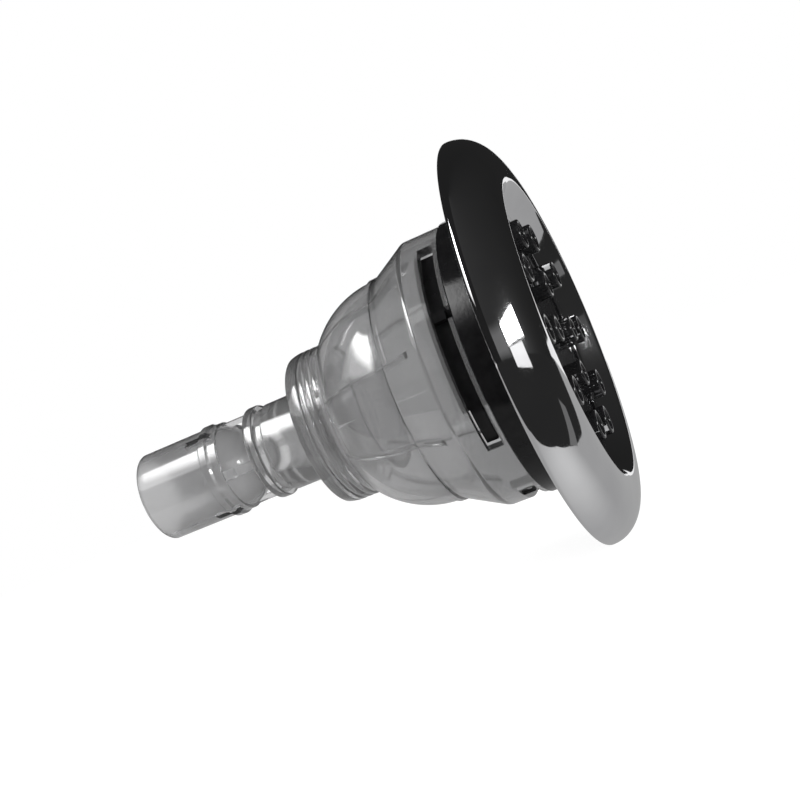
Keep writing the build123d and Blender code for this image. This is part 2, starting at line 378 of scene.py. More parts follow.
def steelOutline(s):
    # outer skin from rim to lip, then the inner skin back, as one closed outline
    rollRadius = s["radius"] - s["edgeRoll"]
    crestStation = s["crestRound"] - s["height"]
    slope = math.radians(s["bowlSlope"])

    def bowl(depth):
        # end of the crest arc, and the corner where the bowl's wall meets the lip
        r = s["crestRound"] - depth
        end = np.array([s["crestRadius"] - r * math.sin(slope), crestStation - r * math.cos(slope)])
        station = s["lipStation"] + depth
        return end, np.array([end[0] - (station - end[1]) / math.tan(slope), station])

    end, corner = bowl(0.0)
    innerEnd, innerCorner = bowl(s["sheet"])
    middle = (s["crestRadius"], -s["edgeRoll"])
    reach = np.array([s["radius"] - s["crestRadius"], s["height"] - s["edgeRoll"]])
    lip = s["lipRadius"]
    low = s["lipStation"]
    half = s["sheet"] / 2
    outerRound, innerRound = s["lipBends"]
    bend = softCorners([end, corner, (lip, low)], outerRound, 7, closed=False)
    innerBend = softCorners([(lip, low + s["sheet"]), innerCorner, innerEnd], innerRound, 5, closed=False)
    crest = (s["crestRadius"], crestStation)
    roll = (rollRadius, -s["edgeRoll"])
    flip = 270 - s["bowlSlope"]
    return joinRuns(
        arcRun(middle, reach, 0, -90, 44),
        arcRun(crest, s["crestRound"], 270, flip, 12),
        straightRun(end, bend[1], 4),
        bend[1:],
        arcRun((lip, low + half), half, 270, 90, 7),
        innerBend,
        arcRun(crest, s["crestRound"] - s["sheet"], flip, 270, 8),
        arcRun(middle, reach - s["sheet"], -90, 0, 30),
        arcRun(roll, s["edgeRoll"] - s["sheet"], 0, 90, 5),
        straightRun((rollRadius, -s["sheet"]), (rollRadius - s["crimp"], -s["sheet"])),
        straightRun((rollRadius - s["crimp"], -s["sheet"]), (rollRadius - s["crimp"], 0)),
        straightRun((rollRadius - s["crimp"], 0), (rollRadius, 0)),
        arcRun(roll, s["edgeRoll"], 90, 0, 10),
    )[:-1]


makePiece("steelEscutcheon", [turnedLoop(steelOutline(steelRing), steelRing["steps"])],
          brightSteel, "face", "escutcheon", 35)

# nozzle plate

nozzleFace = {
    "radius": 40.9,
    "front": -5.4,
    "rear": -2.4,
    "skirtEnd": 7.5,
    "skirtWall": 2.0,
    "turn": -3.0,
    "outerRing": (10, 31.0, 4.45),
    "innerRing": (4, 14.0, 4.0),
    "stubHeight": 6.0,
    "lip": 1.3,
    "cupDepth": 1.6,
    "holeRadius": 1.5,
    "rimRound": 0.65,
    "cupRound": 0.35,
    "holeRound": 0.25,
    "foot": 0.5,
    "rimSteps": 240,
    "stubSteps": 56,
}


def stubProfile(n, radius):
    # foot on the plate, wall, rounded rim, cup and the hole through to the plate's rear
    tip = n["front"] - n["stubHeight"]
    cup = radius - n["lip"]
    hole = n["holeRadius"]
    floor = tip + n["cupDepth"]
    corners = [
        (radius + n["foot"], n["front"]),
        (radius, n["front"]),
        (radius, tip),
        (cup, tip),
        (cup, floor),
        (hole, floor),
        (hole, n["rear"]),
    ]
    rounds = [0, n["foot"] * 2, n["rimRound"], n["rimRound"], n["cupRound"], n["holeRound"], 0]
    return softCorners(corners, rounds, 6, closed=False)


def cappedDisc(station, outerLoop, centres, holeRadius, steps):
    # flat disc with round holes: constrained triangles of all the loops, less those with their middle in a hole
    a = np.linspace(0, 2 * np.pi, steps, endpoint=False)
    circles = centres[:, None, :] + holeRadius[:, None, None] * np.stack([np.cos(a), np.sin(a)], -1)[None]
    flat = np.vstack([outerLoop, circles.reshape(-1, 2)])
    first = np.arange(len(outerLoop))
    rest = len(outerLoop) + np.arange(len(centres) * steps).reshape(len(centres), steps)
    edges = np.vstack([
        np.column_stack([first, np.roll(first, -1)]),
        np.stack([rest, np.roll(rest, -1, axis=1)], -1).reshape(-1, 2),
    ])
    made = delaunay_2d_cdt([Vector(p) for p in flat.tolist()], edges.tolist(), [], 0, 1e-6)
    triangles = np.array(made[2], int)
    flat = np.array([tuple(p) for p in made[0]])
    middle = flat[triangles].mean(axis=1)
    clear = (np.linalg.norm(middle[:, None] - centres[None], axis=2) > holeRadius[None] * 0.995).all(axis=1)
    return np.column_stack([flat[:, 0], np.full(len(flat), station), flat[:, 1]]), triangles[clear]


def nozzleShells(n):
    places = []
    for count, ring, radius in (n["outerRing"], n["innerRing"]):
        a = np.radians(n["turn"] + 360 / count * np.arange(count))
        places.append(np.column_stack([ring * np.cos(a), ring * np.sin(a), np.full(count, radius)]))
    places = np.vstack(places)
    rim = np.linspace(0, 2 * np.pi, n["rimSteps"], endpoint=False)
    circle = np.column_stack([np.cos(rim), np.sin(rim)])
    bore = n["radius"] - n["skirtWall"]
    centres, feet = places[:, :2], places[:, 2] + n["foot"]
    holes = np.full(len(places), n["holeRadius"])
    front = cappedDisc(n["front"], n["radius"] * circle, centres, feet, n["stubSteps"])
    rear = cappedDisc(n["rear"], bore * circle, centres, holes, n["stubSteps"])
    skirt = joinRuns(
        straightRun((n["radius"], n["front"]), (n["radius"], n["skirtEnd"]), 6),
        straightRun((n["radius"], n["skirtEnd"]), (bore, n["skirtEnd"]), 3),
        straightRun((bore, n["skirtEnd"]), (bore, n["rear"]), 5),
    )
    wall = roundGrid(rim, skirt).reshape(-1, 3)
    shells = [front, rear, (wall, gridQuads(len(skirt), n["rimSteps"], False, True))]
    around = np.linspace(0, 2 * np.pi, n["stubSteps"], endpoint=False)
    for x, z, radius in places:
        profile = stubProfile(n, radius)
        stub = roundGrid(around, profile) + np.array([x, 0, z])
        shells.append((stub.reshape(-1, 3), gridQuads(len(profile), n["stubSteps"], False, True)))
    return shells


makePiece("nozzleFace", nozzleShells(nozzleFace),
          blackGloss, "face", "nozzle_plate", 40, weld=True)

# face carrier

carrier = {
    "bore": 37.8,
    "radius": 43.0,
    "cupBore": 41.0,
    "rear": 10.0,
    "ringFront": 7.5,
    "front": -5.4,
    "webRadius": 62.2,
    "webRear": -1.0,
    "webFront": -3.0,
    "tabRadius": 39.7,
    "tabStart": 122.5,
    "tabSpan": 73.0,
    "tailSpan": 89.0,
    "tabRear": 18.0,
    "tailFront": 12.5,
    "tailRear": 16.0,
    "tabEase": 0.15,
    "lugAngle": 157.6,
    "lugWidth": 2.9,
    "lugRadius": 42.2,
    "lugRoot": 38.8,
    "lugEase": 0.12,
    "lugStations": (11.9, 15.9),
    "edgeRound": 0.3,
    "steps": 288,
}


def carrierShells(c):
    corners = [
        (c["bore"], c["rear"]), (c["radius"], c["rear"]), (c["radius"], c["webRear"]),
        (c["webRadius"], c["webRear"]), (c["webRadius"], c["webFront"]), (c["radius"], c["webFront"]),
        (c["radius"], c["front"]), (c["cupBore"], c["front"]), (c["cupBore"], c["ringFront"]),
        (c["bore"], c["ringFront"]),
    ]
    shells = [turnedLoop(softCorners(corners, c["edgeRound"], 4), c["steps"])]
    # three shutter tabs, each with a tail: wall cells between the bore and the tab's radius
    station = np.array([
        8.0, 9.0, 10.0, 11.25, c["tailFront"], 13.6, 14.8, c["tailRear"], 17.0,
        c["tabRear"] - c["tabEase"], c["tabRear"],
    ])
    span = np.linspace(0, c["tailSpan"], 90)
    span = np.sort(np.append(span[np.abs(span - c["tabSpan"]) > 0.4], c["tabSpan"]))
    middle = (span[:-1] + span[1:]) / 2
    row = (station[:-1] + station[1:]) / 2
    onTail = (row > c["tailFront"]) & (row < c["tailRear"])
    keep = (middle[None, :] < c["tabSpan"]) | onTail[:, None]
    ease = np.where(station == c["tabRear"], c["tabEase"], 0.0)[:, None]
    lugHalf = math.degrees(c["lugWidth"] / 2 / c["lugRadius"])
    across = np.linspace(-1, 1, 5)
    crown = c["lugEase"] * (np.abs(across) > 0.9)  # the lug's two long edges are eased
    lugStation = np.linspace(*c["lugStations"], 4)
    for k in range(3):
        a = np.radians(c["tabStart"] + 120 * k + span)[None, :]
        outer = ringPoints(a, c["tabRadius"] - ease, station[:, None])
        inner = ringPoints(a, c["bore"] + ease, station[:, None])
        shells.append(wallShell(outer, inner, keep, False))
        a = np.radians(c["lugAngle"] + 120 * k + lugHalf * across)[None, :]
        outer = ringPoints(a, c["lugRadius"] - crown[None, :], lugStation[:, None])
        inner = ringPoints(a, c["lugRoot"], lugStation[:, None])
        shells.append(wallShell(outer, inner, np.ones((3, 4), bool), False))
    return shells


makePiece("shutterCarrier", carrierShells(carrier),
          blackMoulding, "face", "face_carrier", 35)

# bell body

bell = {
    "holeRadius": 14.3,
    "rear": 70.3,
    "rearWall": 3.0,
    "threadRadius": 24.55,
    "wall": 2.5,
    "chamfer": 0.35,
    "leadStation": 66.3,
    "leadRound": 12.0,
    "domeCentre": (6.85, 36.6),
    "domeRadius": 28.8,
    "landRadius": 35.65,
    "landEnd": 35.3,
    "landBead": 0.55,
    "flareEnd": 22.7,
    "frontRadius": 42.5,
    "shoulder": 3.0,
    "rim": 10.3,
    "windowStations": (11.5, 16.3),
    "windowStart": 121.5,
    "windowSpan": 91.0,
    "slotAngle": 157.6,
    "slotWidth": 3.7,
    "ribAngle": 165.0,
    "ribCount": 9,
    "ribThickness": 1.2,
    "ribHeight": 1.6,
    "ribFront": 26.0,
    "ribMiddle": 31.0,  # radius at which a rib has its thickness
    "ribFlank": 0.3,
    "innerDull": 0.15,
    "pale": ((20, 0.0), (36, 0.10), (50, 0.22), (61, 0.40)),  # station and tone; the rising tone is painted light, paler towards the collar
    "discRows": 4,
    "collarRows": 88,
    "domeRows": 37,
    "windowRows": 5,
    "rimRows": 4,
    "steps": 264,
}
collarThread = {
    "pitch": 2.2,
    "depth": 0.6,
    "crest": 0.24,
    "root": 0.46,
    "crown": 0.05,
    "endAngle": 156.0,
    "endStation": 60.2,
    "endEase": 4.0,
    "rear": 66.6,
    "fade": 0.6,
    "runIn": 0.7,
    "runOut": 0.4,
}


def bellWalls(b):
    # outer and inner outlines with the same number of points, run by run from the rear hole to the front rim
    cx, cy = b["domeCentre"]
    bore = b["threadRadius"] - b["wall"]
    innerDome = b["domeRadius"] - b["wall"]
    outerDeg = math.degrees(math.acos((b["threadRadius"] - cx) / b["domeRadius"]))
    innerDeg = math.degrees(math.acos((bore - cx) / innerDome))
    outerStart = cy + b["domeRadius"] * math.sin(math.radians(outerDeg))
    innerStart = cy + innerDome * math.sin(math.radians(innerDeg))
    flare = math.atan2(b["frontRadius"] - b["landRadius"], b["landEnd"] - b["flareEnd"])
    shift = b["wall"] * math.tan(flare / 2)
    tangent = b["shoulder"] * math.tan(flare / 2)
    seat = b["rear"] - b["rearWall"]
    front = b["frontRadius"]
    low = front - b["wall"]
    landBore = b["landRadius"] - b["wall"]
    flareTop = (front - tangent * math.sin(flare), b["flareEnd"] + tangent * math.cos(flare))
    winFront, winRear = b["windowStations"]
    bend = b["shoulder"]
    shoulder = arcRun((front - bend, b["flareEnd"] - tangent), bend, math.degrees(flare), 0, 9)
    # the collar's rear end is rounded off: radius - (R - sqrt(R^2 - reach^2)) with the reach past its start
    crest = b["threadRadius"]
    collar = straightRun((crest, b["rear"] - b["chamfer"]), (crest, outerStart), b["collarRows"])
    reach = np.clip(collar[:, 1] - b["leadStation"], 0, None)
    collar[:, 0] -= b["leadRound"] - np.sqrt(b["leadRound"] ** 2 - reach**2)
    lead = collar[0, 0] - b["chamfer"]
    bead = b["landRadius"] + b["landBead"]
    beadFoot = (b["landRadius"] + 0.1, b["landEnd"] - 0.2)
    outer = joinRuns(
        straightRun((b["holeRadius"], b["rear"]), (lead, b["rear"]), b["discRows"]),
        straightRun((lead, b["rear"]), collar[0], 3),
        collar,
        arcRun((cx, cy), b["domeRadius"], outerDeg, 0.6, b["domeRows"]),
        straightRun((b["landRadius"], cy + 0.3), (bead, cy + 0.15), 3),
        straightRun((bead, cy + 0.15), (bead, b["landEnd"]), 4),
        straightRun((bead, b["landEnd"]), beadFoot, 3),
        straightRun(beadFoot, flareTop, 8),
        shoulder,
        straightRun((front, b["flareEnd"] - tangent), (front, winRear), 5),
        straightRun((front, winRear), (front, winFront), b["windowRows"]),
        straightRun((front, winFront), (front, b["rim"]), b["rimRows"]),
    )
    innerTop = (low - 0.3 * math.sin(flare), b["flareEnd"] - shift + 0.3 * math.cos(flare))
    innerFoot = (low, b["flareEnd"] - shift - 0.3)
    inner = joinRuns(
        straightRun((b["holeRadius"], seat), (bore, seat), b["discRows"]),
        straightRun((bore, seat), (bore, seat - 0.4), 3),
        straightRun((bore, seat - 0.4), (bore, innerStart), b["collarRows"]),
        arcRun((cx, cy), innerDome, innerDeg, 0, b["domeRows"]),
        straightRun((landBore, cy), (landBore, b["landEnd"] - shift), 8),
        straightRun((landBore, b["landEnd"] - shift), innerTop, 8),
        softCorners([innerTop, (low, b["flareEnd"] - shift), innerFoot], 0.29, 7, closed=False),
        straightRun(innerFoot, (low, winRear), 5),
        straightRun((low, winRear), (low, winFront), b["windowRows"]),
        straightRun((low, winFront), (low, b["rim"]), b["rimRows"]),
    )
    return outer, inner


def threadDrop(t, angleDeg, station, collarFront, collarRear):
    # how far the collar lies under its crest: depth * (1 - ridge), where u is the turns from the ridge's end.
    # The ridge is level over the crest's share of the pitch on each side of a whole u, and then falls in half
    # a cosine to the root.
    psi = np.mod(angleDeg - t["endAngle"], 360.0) - 360.0
    u = (station - t["endStation"]) / t["pitch"] + psi / 360.0
    nearest = np.round(u)
    side = np.abs(u - nearest)
    fall = np.clip((side - t["crest"]) / (t["root"] - t["crest"]), 0, 1)
    ridge = 0.5 + 0.5 * np.cos(np.pi * fall) - t["crown"] * np.clip(side / t["crest"], 0, 1) ** 2
    ease = np.sqrt(np.clip(-psi / t["endEase"], 0, 1))
    ridge = np.where(nearest < 0, 0.0, np.where(nearest < 1, ridge * ease, ridge))
    start = np.clip((station - collarFront) / t["runIn"], 0, 1)
    run = start * np.clip((collarRear - station) / t["runOut"], 0, 1)
    plain = np.clip((station - t["rear"]) / t["fade"], 0, 1)
    drop = t["depth"] * (1 - ridge) * (1 - plain)
    return drop * run * run * (3 - 2 * run)


def bellShell(b, t):
    half = math.degrees(b["slotWidth"] / 2 / b["frontRadius"])
    ribHalf = math.degrees(b["ribThickness"] / 2 / b["ribMiddle"])
    flank = b["ribFlank"]
    windows = b["windowStart"] + 120 * np.arange(3)
    slots = b["slotAngle"] + 120 * np.arange(3)
    ribs = b["ribAngle"] + 360 / b["ribCount"] * np.arange(b["ribCount"])
    ribEdges = (ribs[:, None] + np.array([-ribHalf - flank, -ribHalf, ribHalf, ribHalf + flank])).ravel()
    angle = angleGrid(b["steps"], np.concatenate([
        windows, windows + b["windowSpan"], slots - half, slots + half, ribEdges]))
    outer, inner = bellWalls(b)
    first = b["discRows"] + 1  # the collar's rows
    last = first + b["collarRows"] - 1
    drop = np.zeros((len(outer), len(angle)))
    collar = outer[first:last + 1, 1:]
    drop[first:last + 1] = threadDrop(t, angle[None, :], collar, outer[last, 1], outer[first, 1])
    # ribs are raised bands on the inner wall: height where the angle lies within a rib, over the dome and flare
    gap = np.abs((angle[:, None] - ribs[None, :] + 180) % 360 - 180).min(axis=1)
    across = np.clip((ribHalf + flank - gap) / flank, 0, 1)
    tangent = np.gradient(inner, axis=0)
    normal = np.column_stack([tangent[:, 1], -tangent[:, 0]])
    normal /= np.linalg.norm(normal, axis=1, keepdims=True)
    normal *= np.sign(np.sum(normal * (np.array([0.0, 30.0]) - inner), axis=1, keepdims=True))
    ribbed = np.zeros(len(inner))
    ribbed[last:] = 1.0
    ribbed *= np.clip((inner[:, 1] - b["ribFront"]) / 0.4, 0, 1)
    lift = b["ribHeight"] * across[None, :] * ribbed[:, None]
    a = np.radians(angle)[None, :]
    outerPoints = ringPoints(a, outer[:, :1] - drop, outer[:, 1:])
    lifted = inner[:, None] + lift[:, :, None] * normal[:, None]
    innerPoints = ringPoints(a, lifted[..., 0], lifted[..., 1])
    station = (outer[:-1, 1] + outer[1:, 1]) / 2
    middle = angle + np.mod(np.roll(angle, -1) - angle, 360.0) / 2
    frontCells = b["windowRows"] + b["rimRows"] - 2
    onFront = np.arange(len(station)) >= len(station) - frontCells
    winFront, winRear = b["windowStations"]
    inWindow = np.zeros(len(angle), bool)
    inSlot = np.zeros(len(angle), bool)
    for k in range(3):
        inWindow |= insideSpan(middle, windows[k], b["windowSpan"])
        inSlot |= insideSpan(middle, slots[k] - half, 2 * half)
    rowWindow = onFront & (station < winRear) & (station > winFront)
    rowRim = onFront & (station < winFront)
    keep = ~((rowWindow[:, None] & inWindow[None, :]) | (rowRim[:, None] & inSlot[None, :]))
    pale = np.interp(outer[:, 1:], *np.array(b["pale"]).T)  # paler towards the collar: painted light that brightens the dome and collar
    return wallShell(outerPoints, innerPoints, keep, True, b["innerDull"], pale)


makePiece("smokyBell", [bellShell(bell, collarThread)],
          smokyClear, "body", "bell_body", 24)

# diffuser tube

diffuser = {
    "spigotRadius": 14.45,
    "spigotBore": 12.45,
    "end": 130.6,
    "endRound": 0.6,
    "band": (107.6, 104.1, 0.7),  # rear, front, height
    "airSlots": (103.2, 112.2, 2.6, 4.0),  # front, rear, width, angle
    "cageRear": 101.4,
    "noseRadius": 13.55,
    "nozzleTip": (6.8, 5.2, 92.4),  # outer radius, inner radius, station
    "nozzleWall": 1.6,
    "nozzleRound": 13.0,
    "bars": (4, 187.5, 3.0, 12.2, 13.8),  # count, first angle, width, inner and outer radius
    "barSink": 0.15,
    "ring": (91.1, 87.7, 13.5, 15.1),  # rear, front, foot radius, top radius
    "ringRounds": (0.9, 0.6),
    "mouth": 9.5,
    "throat": 8.0,
    "neck": 14.2,
    "grooveEnd": 84.8,
    "seat": (67.3, 64.8, 21.95),  # rear, front, radius
    "coneEnd": (50.6, 20.5, 18.5),  # station, outer radius, inner radius
    # the neck's paler tint is painted light, brightening it against the darker spigot
    "pale": 0.36,
    "coneDull": 0.4,
    "steps": 216,
}


def bowedRun(start, end, radius, count):
    # arc of the given radius between two points; a negative radius bows it to the other side
    start, end = np.asarray(start, float), np.asarray(end, float)
    middle, chord = (start + end) / 2, end - start
    length = np.linalg.norm(chord)
    side = np.array([-chord[1], chord[0]]) / length
    centre = middle + side * math.copysign(math.sqrt(radius**2 - length**2 / 4), radius)
    a0, a1 = (math.atan2(*(p - centre)[::-1]) for p in (start, end))
    turn = (a1 - a0 + math.pi) % (2 * math.pi) - math.pi
    a = a0 + turn * np.linspace(0, 1, count)
    return centre + abs(radius) * np.column_stack([np.cos(a), np.sin(a)])


def spigotWalls(d):
    r, bore, end, ease = d["spigotRadius"], d["spigotBore"], d["end"], d["endRound"]
    bandRear, bandFront, rise = d["band"]
    slotFront, slotRear = d["airSlots"][:2]
    outerTip, innerTip, tip = d["nozzleTip"]
    inside = d["cageRear"] + d["nozzleWall"]
    outer = joinRuns(
        straightRun((bore + 0.3, end), (r - ease, end), 3),
        arcRun((r - ease, end - ease), ease, 90, 0, 8),
        straightRun((r, end - ease), (r, slotRear), 8),
        straightRun((r, slotRear), (r, bandRear), 4),
        straightRun((r, bandRear), (r + rise, bandRear - rise), 5),
        straightRun((r + rise, bandRear - rise), (r + rise, bandFront + rise), 5),
        straightRun((r + rise, bandFront + rise), (r, bandFront), 5),
        straightRun((r, bandFront), (r, slotFront), 3),
        straightRun((r, slotFront), (r, d["cageRear"]), 4),
        straightRun((r, d["cageRear"]), (d["noseRadius"], d["cageRear"]), 3),
        bowedRun((d["noseRadius"], d["cageRear"]), (outerTip, tip), -d["nozzleRound"], 26),
    )
    inner = joinRuns(
        straightRun((bore + 0.3, end), (bore, end - 0.3), 3),
        straightRun((bore, end - 0.3), (bore, end - ease), 8),
        straightRun((bore, end - ease), (bore, slotRear), 8),
        straightRun((bore, slotRear), (bore, bandRear), 4),
        straightRun((bore, bandRear), (bore, bandRear - rise), 5),
        straightRun((bore, bandRear - rise), (bore, bandFront + rise), 5),
        straightRun((bore, bandFront + rise), (bore, bandFront), 5),
        straightRun((bore, bandFront), (bore, slotFront), 3),
        straightRun((bore, slotFront), (bore, inside), 4),
        bowedRun((bore, inside), (innerTip, tip), -d["nozzleRound"], 28),
    )
    outer[0, 1] = inner[0, 1] = end
    inner[0, 0] = bore + 0.28
    return outer, inner


def neckWalls(d):
    ringRear, ringFront, low, high = d["ring"]
    seatRear, seatFront, seatRadius = d["seat"]
    coneFront, coneOuter, coneInner = d["coneEnd"]
    neck = d["neck"]
    ring = [(low, ringRear), (high, ringRear), (high, ringFront), (low, ringFront)]
    outer = joinRuns(
        softCorners(ring, [0, *d["ringRounds"], 0], 8, closed=False),
        straightRun((low, ringFront), (low, d["grooveEnd"] + 0.7), 4),
        straightRun((low, d["grooveEnd"] + 0.7), (neck, d["grooveEnd"]), 4),
        straightRun((neck, d["grooveEnd"]), (neck, seatRear), 14),
        straightRun((neck, seatRear), (seatRadius, seatRear), 4),
        straightRun((seatRadius, seatRear), (seatRadius, seatFront), 3),
        straightRun((seatRadius, seatFront), (neck, seatFront), 4),
        straightRun((neck, seatFront), (coneOuter, coneFront), 10),
    )
    # the way through: mouth to throat, then the long cone, stepped by the same share of length as the outside
    reach = np.concatenate([[0], np.cumsum(np.linalg.norm(np.diff(outer, axis=0), axis=1))])
    station = ringRear + (coneFront - ringRear) * reach / reach[-1]
    knots = [coneFront, ringFront, ringRear]
    radius = np.interp(station, knots, [coneInner, d["throat"], d["mouth"]])
    return outer, np.column_stack([radius, station])


def diffuserShells(d):
    slotFront, slotRear, slotWidth, slotAngle = d["airSlots"]
    half = math.degrees(slotWidth / 2 / d["spigotRadius"])
    slots = slotAngle + 120 * np.arange(3)
    angle = angleGrid(d["steps"], np.concatenate([slots - half, slots + half]))
    outer, inner = spigotWalls(d)
    around = np.radians(angle)
    station = (outer[:-1, 1] + outer[1:, 1]) / 2
    middle = angle + np.mod(np.roll(angle, -1) - angle, 360.0) / 2
    inSlot = np.zeros(len(angle), bool)
    for k in range(3):
        inSlot |= insideSpan(middle, slots[k] - half, 2 * half)
    row = (station < slotRear) & (station > slotFront)
    keep = ~(row[:, None] & inSlot[None, :])
    shells = [wallShell(roundGrid(around, outer), roundGrid(around, inner), keep, True)]
    neck = [roundGrid(around, wall) for wall in neckWalls(d)]
    keep = np.ones((len(neck[0]) - 1, len(angle)), bool)
    shells.append(wallShell(*neck, keep, True, d["coneDull"], d["pale"]))
    # cage bars: from the ring's rear face to the nozzle's curve, which they meet at both their radii
    count, first, width, low, high = d["bars"]
    curve = bowedRun((d["noseRadius"], d["cageRear"]), d["nozzleTip"][::2], -d["nozzleRound"], 60)[::-1]
    barHalf = width / 2 / ((low + high) / 2)
    share = np.linspace(0, 1, 12)[:, None]
    foot = d["ring"][0] - d["barSink"]
    for k in range(count):
        turn = math.radians(first + 360 / count * k) + np.linspace(-barHalf, barHalf, 5)[None, :]
        walls = []
        for radius in (high, low):
            top = np.interp(radius, curve[:, 0], curve[:, 1]) + d["barSink"]
            walls.append(ringPoints(turn, radius, foot + (top - foot) * share))
        shells.append(wallShell(*walls, np.ones((11, 4), bool), False, 0.0, d["pale"]))
    return shells


makePiece("smokyDiffuser", diffuserShells(diffuser),
          smokyClear, "body", "diffuser_tube", 26)

# stage: pale floor, cards that only mirrors see, three soft boxes

stage = {
    "floorHalf": 2.0,
    "floorGlow": 0.93,
    "floorPale": 0.8,
    "floorShade": 0.22,
    "floorGap": 0.0003,
    "fill": 0.4,
    "darkTone": 0.024,
    "stripTone": 0.17,
    "paleTone": (0.66, 0.40),  # in its middle, just under the ring's near edge, and past its reach
    "paleMiddle": (-0.065, -0.028),
    "paleReach": 0.06,
    "cardSpan": 1.4,
    "cardLift": (0.0005, 0.0008),  # the two cards on the floor, and the strip over them
    "sideBox": {
        "place": (-0.335, 0.405, 0.53),
        "toward": (-0.02, 0.045, 0.015),
        "size": (0.50, 0.45),
        "power": 5.5,
    },
    "windowTop": {
        "place": (-0.189, -0.278, 0.050),
        "toward": (-0.061, -0.007, 0.006),
        "size": (0.29, 0.062),
        "power": 12.0,
    },
    "windowLow": {
        "place": (-0.211, -0.265, -0.018),
        "toward": (-0.061, -0.007, 0.0),
        "size": (0.22, 0.058),
        "power": 1.1,
    },
    "sidePanel": {
        "middle": (-0.022, 0.045, 0.016),
        "reach": 0.68,
        "az": (103, 157),
        "el": (24, 65),
        "dim": 1.3,
        "bright": 11.0,
        "grid": (47, 61),
    },
    "cardShell": {
        "reach": 1.3,
        "grid": (71, 181),
        "tone": 0.017,
        "behind": 0.021,
        "beside": 0.13,
        "halo": 0.07,
    },
}
# lower edge of the shell of cards, as az and el in degrees
shellEdge = np.array([
    [-180, -51], [-140, -50], [-120, -47], [-100, -40], [-80, -31], [-60, -21], [-50, -13],
    [-42, -4], [-35, -0.5], [-20, 0], [-10, 3], [-5, 8], [0, 14], [6, 22], [14, 20], [22, 6],
    [40, 0], [140, -3], [157, -10], [166, -42], [180, -51],
])
# the edge that the two cards on the floor share, and the grey strip, as x and y in metres
floorEdge = np.array([
    [-0.110, 1.4], [-0.108, 0.014], [-0.092, -0.003], [-0.076, -0.035], [-0.052, -0.058],
    [0.0, -0.092], [0.050, -0.116], [0.150, -0.172], [0.400, -0.310], [1.400, -0.860],
])
greyStrip = np.array([[0.020, -0.201], [0.047, -0.180], [-0.025, -0.073], [-0.048, -0.062]])


def seenDirectly(tree):
    # 1 for camera, glossy and transmission rays, 0 for the rest
    path = tree.nodes.new("ShaderNodeLightPath")
    seen = path.outputs["Is Camera Ray"]
    for ray in ("Is Glossy Ray", "Is Transmission Ray"):
        either = tree.nodes.new("ShaderNodeMath")
        either.operation = "MAXIMUM"
        tree.links.new(seen, either.inputs[0])
        tree.links.new(path.outputs[ray], either.inputs[1])
        seen = either.outputs[0]
    return seen


def stagePiece(name, points, faces, finish, mirrorOnly):
    mesh = bpy.data.meshes.new(name)
    mesh.from_pydata(points.tolist(), [], faces.tolist())
    mesh.materials.append(finish)
    card = bpy.data.objects.new(name, mesh)
    bpy.context.scene.collection.objects.link(card)
    if mirrorOnly:
        card.visible_camera = card.visible_diffuse = card.visible_transmission = card.visible_shadow = False
    return card


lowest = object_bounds()[0].z - stage["floorGap"]
floorFinish, tree, shader = newFinish("paleFloor")
shader.inputs["Base Color"].default_value = (stage["floorPale"],) * 3 + (1,)
shader.inputs["Roughness"].default_value = 1.0
shader.inputs["Specular IOR Level"].default_value = 0.0
glow = tree.nodes.new("ShaderNodeEmission")
glow.inputs["Strength"].default_value = stage["floorGlow"]
shade = tree.nodes.new("ShaderNodeBsdfDiffuse")
shade.inputs["Color"].default_value = (stage["floorShade"],) * 3 + (1,)
both = tree.nodes.new("ShaderNodeAddShader")
pick = tree.nodes.new("ShaderNodeMixShader")
tree.links.new(glow.outputs[0], both.inputs[0])
tree.links.new(shade.outputs[0], both.inputs[1])
tree.links.new(seenDirectly(tree), pick.inputs["Fac"])
tree.links.new(shader.outputs[0], pick.inputs[1])
tree.links.new(both.outputs[0], pick.inputs[2])
tree.links.new(pick.outputs[0], tree.nodes["Material Output"].inputs["Surface"])
half = stage["floorHalf"]
floorPoints = half * np.array([[-1, -1, 0], [1, -1, 0], [1, 1, 0], [-1, 1, 0]]) + [0, 0, lowest]
stagePiece("floor", floorPoints, np.array([[0, 1, 2, 3]]), floorFinish, False)


def cardFinish(name, tone):
    finish = bpy.data.materials.new(name)
    finish.use_nodes = True
    tree = finish.node_tree
    tree.nodes.remove(tree.nodes["Principled BSDF"])
    glow = tree.nodes.new("ShaderNodeEmission")
    glow.inputs["Color"].default_value = (tone, tone, tone, 1)
    tree.links.new(glow.outputs[0], tree.nodes["Material Output"].inputs["Surface"])
    return finish


def skyPoints(reach, az, el):
    # reach * (cos el cos az, cos el sin az, sin el)
    az, el = np.broadcast_arrays(az, el)
    return reach * np.stack([np.cos(el) * np.cos(az), np.cos(el) * np.sin(az), np.sin(el)], -1)


def flatCard(name, outline, lift, finish):
    points = np.column_stack([outline, np.full(len(outline), lowest + lift)])
    stagePiece(name, points, np.arange(len(points))[None, :], finish, True)


def glowCard(name, finishName, points, level):
    # a grid of points whose glow is given point by point
    finish = cardFinish(finishName, 1.0)
    tree = finish.node_tree
    reader = tree.nodes.new("ShaderNodeAttribute")
    reader.attribute_name = "glow"
    tree.links.new(reader.outputs["Fac"], tree.nodes["Emission"].inputs["Strength"])
    card = stagePiece(name, points.reshape(-1, 3), gridQuads(*points.shape[:2]), finish, True)
    glow = card.data.attributes.new("glow", "FLOAT", "POINT")
    glow.data.foreach_set("value", level.astype(np.float32).ravel())


